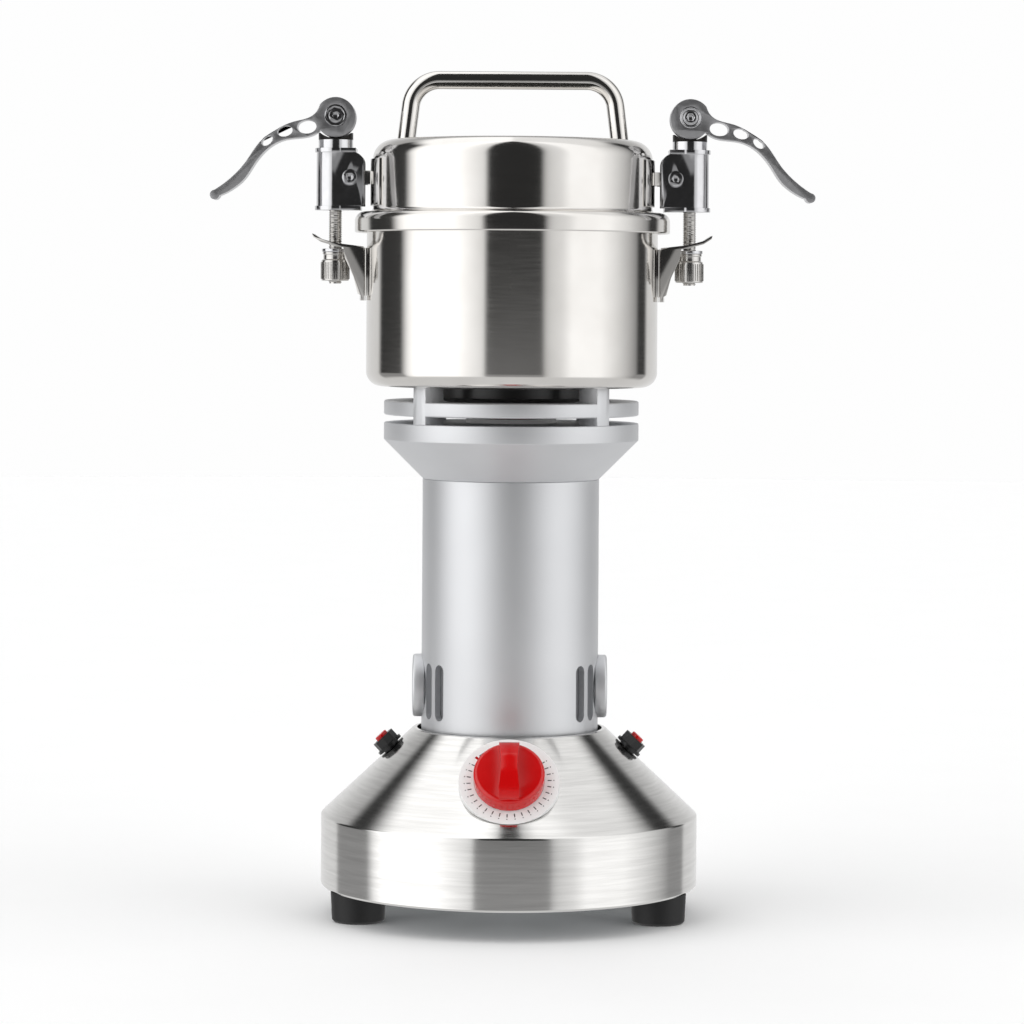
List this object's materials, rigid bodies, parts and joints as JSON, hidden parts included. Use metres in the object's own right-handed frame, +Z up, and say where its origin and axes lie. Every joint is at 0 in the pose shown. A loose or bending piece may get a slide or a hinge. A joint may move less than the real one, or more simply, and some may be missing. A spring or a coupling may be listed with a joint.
{
  "type": "hammer mill",
  "caption": "Stand-type dry grain mill: lidded steel bowl with beater blades on a motor column, side cam clamps, timer knob and wide round base.",
  "frame": {"origin": "on the floor, under the motor axis, at the middle of the object", "axes": "+Z up along the motor axis, -Y towards the timer dial (the front), the two clamps lie along X"},
  "size_m": [0.2658, 0.165, 0.3696],
  "materials": {
    "brushed_stainless": "spun and brushed round",
    "polished_stainless": "mirror polished",
    "blasted_aluminium": "bead-blasted matt",
    "cast_aluminium": "as cast",
    "chromed_steel": "bright chrome",
    "black_steel": "black oxide",
    "ground_steel": "ground",
    "steel_plate": "zinc plated",
    "zinc_screw": "zinc plated",
    "bearing_steel": "ground",
    "lamination_steel": "varnished",
    "copper_wire": "enamelled",
    "copper_bar": "turned",
    "brass_sheet": "pressed",
    "carbon": "pressed graphite",
    "black_rubber": "moulded matt",
    "red_silicone": "moulded",
    "clear_silicone": "moulded",
    "black_plastic": "moulded",
    "grey_plastic": "moulded",
    "white_plastic": "moulded and printed",
    "red_plastic": "moulded gloss"
  },
  "bodies": {
    "root": {"base_shell": "brushed_stainless", "bottom_plate": "steel_plate", "rubber_feet": "black_rubber", "foot_screws": "zinc_screw", "lower_end_bracket": "cast_aluminium", "bearings": "bearing_steel", "motor_tube": "blasted_aluminium", "brush_caps": "blasted_aluminium", "brush_carrier": "grey_plastic", "brush_holders": "brass_sheet", "carbon_brushes": "carbon", "stator_core": "lamination_steel", "field_coils": "copper_wire", "neck_casting": "blasted_aluminium", "support_ring": "blasted_aluminium", "insulating_ring": "white_plastic", "shaft_seal": "red_silicone", "bowl": "polished_stainless", "bowl_hub_cover": "black_plastic", "bowl_screws": "zinc_screw", "bracket_pads": "polished_stainless", "dial_plate": "white_plastic", "timer_body": "black_plastic", "breaker_bodies": "black_plastic", "breaker_nuts": "black_plastic", "cable_gland": "black_plastic", "fork_bracket_left": "polished_stainless", "fork_bracket_right": "polished_stainless"},
    "rotor": {"motor_shaft": "ground_steel", "armature_core": "lamination_steel", "armature_winding": "copper_wire", "commutator": "copper_bar", "cooling_fan": "black_plastic", "blades": "ground_steel", "blade_nut_and_spacers": "ground_steel"},
    "lid": {"lid_shell": "polished_stainless", "lid_liner": "polished_stainless", "lid_seal": "clear_silicone", "lid_handle": "polished_stainless", "lid_bracket_left": "polished_stainless", "lid_bracket_right": "polished_stainless"},
    "knob": {"timer_knob": "red_plastic"},
    "button_left": {"reset_button_left": "red_plastic"},
    "button_right": {"reset_button_right": "red_plastic"},
    "clamp_left": {"clamp_housing_left": "chromed_steel", "cam_saddle_left": "black_steel", "pivot_bolt_left": "chromed_steel"},
    "screw_left": {"clamp_screw_left": "ground_steel", "cam_pin_left": "chromed_steel"},
    "lever_left": {"cam_lever_left": "chromed_steel"},
    "washer_left": {"thrust_washer_left": "chromed_steel"},
    "nut_left": {"knurled_nut_left": "chromed_steel"},
    "clamp_right": {"clamp_housing_right": "chromed_steel", "cam_saddle_right": "black_steel", "pivot_bolt_right": "chromed_steel"},
    "screw_right": {"clamp_screw_right": "ground_steel", "cam_pin_right": "chromed_steel"},
    "lever_right": {"cam_lever_right": "chromed_steel"},
    "washer_right": {"thrust_washer_right": "chromed_steel"},
    "nut_right": {"knurled_nut_right": "chromed_steel"}
  },
  "joints": [
    {"name": "rotor_spin", "type": "hinge", "parent": "root", "child": "rotor", "pos_m": [0, 0, 0.15], "axis": [0, 0, 1], "continuous": true},
    {"name": "lid_lift", "type": "slide", "parent": "root", "child": "lid", "axis": [0, 0, 1], "range_m": [0, 0.12]},
    {"name": "timer_turn", "type": "hinge", "parent": "root", "child": "knob", "pos_m": [0, -0.063, 0.0653], "axis": [0, 0.7546, -0.6562], "range_deg": [0, 300]},
    {"name": "reset_press_left", "type": "slide", "parent": "root", "child": "button_left", "axis": [0.6832, 0, -0.7303], "range_m": [0, 0.0015], "stiffness_N_per_m": 200},
    {"name": "reset_press_right", "type": "slide", "parent": "root", "child": "button_right", "axis": [-0.6832, 0, -0.7303], "range_m": [0, 0.0015], "stiffness_N_per_m": 200},
    {"name": "clamp_swing_left", "type": "hinge", "parent": "lid", "child": "clamp_left", "pos_m": [-0.0714, 0, 0.3224], "axis": [0, 1, 0], "range_deg": [0, 30]},
    {"name": "screw_drop_left", "type": "slide", "parent": "clamp_left", "child": "screw_left", "axis": [0, 0, -1], "range_m": [0, 0.00093941]},
    {"name": "lever_flip_left", "type": "hinge", "parent": "screw_left", "child": "lever_left", "pos_m": [-0.0779, 0, 0.3495], "axis": [0, 1, 0], "range_deg": [0, 110]},
    {"name": "nut_travel_left", "type": "slide", "parent": "screw_left", "child": "washer_left", "axis": [0, 0, -1], "range_m": [0, 0.003]},
    {"name": "nut_turn_left", "type": "hinge", "parent": "washer_left", "child": "nut_left", "pos_m": [-0.0779, 0, 0.283], "axis": [0, 0, -1], "range_deg": [0, 1080]},
    {"name": "clamp_swing_right", "type": "hinge", "parent": "lid", "child": "clamp_right", "pos_m": [0.0714, 0, 0.3224], "axis": [0, -1, 0], "range_deg": [0, 30]},
    {"name": "screw_drop_right", "type": "slide", "parent": "clamp_right", "child": "screw_right", "axis": [0, 0, -1], "range_m": [0, 0.00093941]},
    {"name": "lever_flip_right", "type": "hinge", "parent": "screw_right", "child": "lever_right", "pos_m": [0.0779, 0, 0.3495], "axis": [0, -1, 0], "range_deg": [0, 110]},
    {"name": "nut_travel_right", "type": "slide", "parent": "screw_right", "child": "washer_right", "axis": [0, 0, -1], "range_m": [0, 0.003]},
    {"name": "nut_turn_right", "type": "hinge", "parent": "washer_right", "child": "nut_right", "pos_m": [0.0779, 0, 0.283], "axis": [0, 0, -1], "range_deg": [0, 1080]}
  ],
  "couplings": [
    {"joint": "lever_flip_left", "follows": "screw_drop_left", "rad_per_m": 2043.7},
    {"joint": "nut_turn_left", "follows": "nut_travel_left", "rad_per_m": 6283.2},
    {"joint": "lever_flip_right", "follows": "screw_drop_right", "rad_per_m": 2043.7},
    {"joint": "nut_turn_right", "follows": "nut_travel_right", "rad_per_m": 6283.2}
  ]
}
